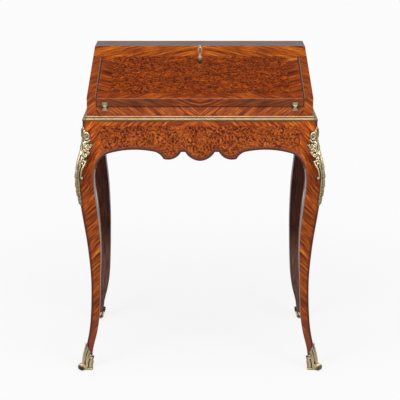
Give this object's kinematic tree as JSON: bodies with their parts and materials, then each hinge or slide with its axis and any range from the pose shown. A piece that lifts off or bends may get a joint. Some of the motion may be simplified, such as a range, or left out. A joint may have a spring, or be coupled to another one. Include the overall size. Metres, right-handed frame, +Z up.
{
  "type": "slant-front writing desk",
  "caption": "Slant-front writing desk on cabriole legs with a hinged locking fall, a scalloped frieze, small inner drawers, a sliding well cover and gilt corner mounts.",
  "frame": {"origin": "centre of the plan, on the floor", "axes": "+Z up, +Y towards the back, +X to the sitter's right"},
  "size_m": [0.6976, 0.4576, 0.8966],
  "materials": {
    "veneer": "polished burl and banding",
    "inner_wood": "waxed",
    "gilt_bronze": "gilt, cast and chased",
    "brass": "worn polish",
    "steel": "satin",
    "leather": "smooth, gilt-tooled edge"
  },
  "bodies": {
    "carcass": {"back_panel": "veneer", "case_floor": "inner_wood", "corner_mount_front_left": "gilt_bronze", "corner_mount_front_right": "gilt_bronze", "corner_mount_pins": "gilt_bronze", "corner_mount_rear_left": "gilt_bronze", "corner_mount_rear_right": "gilt_bronze", "fall_stops": "inner_wood", "floor_battens": "inner_wood", "frieze_front": "veneer", "frieze_left": "veneer", "frieze_rear": "veneer", "frieze_right": "veneer", "hinge_leaves_rail": "brass", "hinge_pins": "steel", "hinge_rail": "veneer", "hinge_screws_rail": "steel", "leg_front_left": "veneer", "leg_front_right": "veneer", "leg_rear_left": "veneer", "leg_rear_right": "veneer", "lock_keeper": "brass", "lock_rail": "inner_wood", "moulding_front": "gilt_bronze", "moulding_left": "gilt_bronze", "moulding_rear": "gilt_bronze", "moulding_right": "gilt_bronze", "nest_cheeks": "inner_wood", "nest_dividers": "inner_wood", "nest_floor": "inner_wood", "nest_shelf": "inner_wood", "sabot_front_left": "gilt_bronze", "sabot_front_right": "gilt_bronze", "sabot_rear_left": "gilt_bronze", "sabot_rear_right": "gilt_bronze", "side_left": "veneer", "side_right": "veneer", "top_board": "veneer", "well_runners": "inner_wood", "writing_bed": "inner_wood"},
    "fall": {"fall_panel": "veneer", "fall_leather": "leather", "hinge_leaves_fall": "brass", "hinge_screws_fall": "steel", "lock_case": "brass", "lock_screws": "steel", "escutcheon": "brass"},
    "key": {"lock_key": "brass"},
    "bolt": {"lock_bolt": "steel"},
    "cover": {"well_cover": "inner_wood", "well_cover_leather": "leather"},
    "drawer_left": {"drawer_left_front": "veneer", "drawer_left_tray": "inner_wood", "drawer_left_knob": "brass"},
    "drawer_centre": {"drawer_centre_front": "veneer", "drawer_centre_tray": "inner_wood", "drawer_centre_knob": "brass"},
    "drawer_right": {"drawer_right_front": "veneer", "drawer_right_tray": "inner_wood", "drawer_right_knob": "brass"}
  },
  "joints": [
    {"name": "fall_hinge", "type": "hinge", "parent": "carcass", "child": "fall", "pos_m": [0, -0.192, 0.765], "axis": [1, 0, 0], "range_deg": [0, 163]},
    {"name": "key_turn", "type": "hinge", "parent": "fall", "child": "key", "pos_m": [0, 0.01792, 0.82724], "axis": [0, -0.2842, 0.9588], "range_deg": [0, 180]},
    {"name": "bolt_slide", "type": "slide", "parent": "fall", "child": "bolt", "axis": [0, 0.9588, 0.2842], "range_m": [0, 0.008]},
    {"name": "cover_slide", "type": "slide", "parent": "carcass", "child": "cover", "axis": [0, 1, 0], "range_m": [0, 0.095]},
    {"name": "drawer_left_slide", "type": "slide", "parent": "carcass", "child": "drawer_left", "axis": [0, -1, 0], "range_m": [0, 0.08]},
    {"name": "drawer_centre_slide", "type": "slide", "parent": "carcass", "child": "drawer_centre", "axis": [0, -1, 0], "range_m": [0, 0.08]},
    {"name": "drawer_right_slide", "type": "slide", "parent": "carcass", "child": "drawer_right", "axis": [0, -1, 0], "range_m": [0, 0.08]}
  ],
  "couplings": [
    {"joint": "key_turn", "follows": "bolt_slide", "rad_per_m": 392.69}
  ]
}
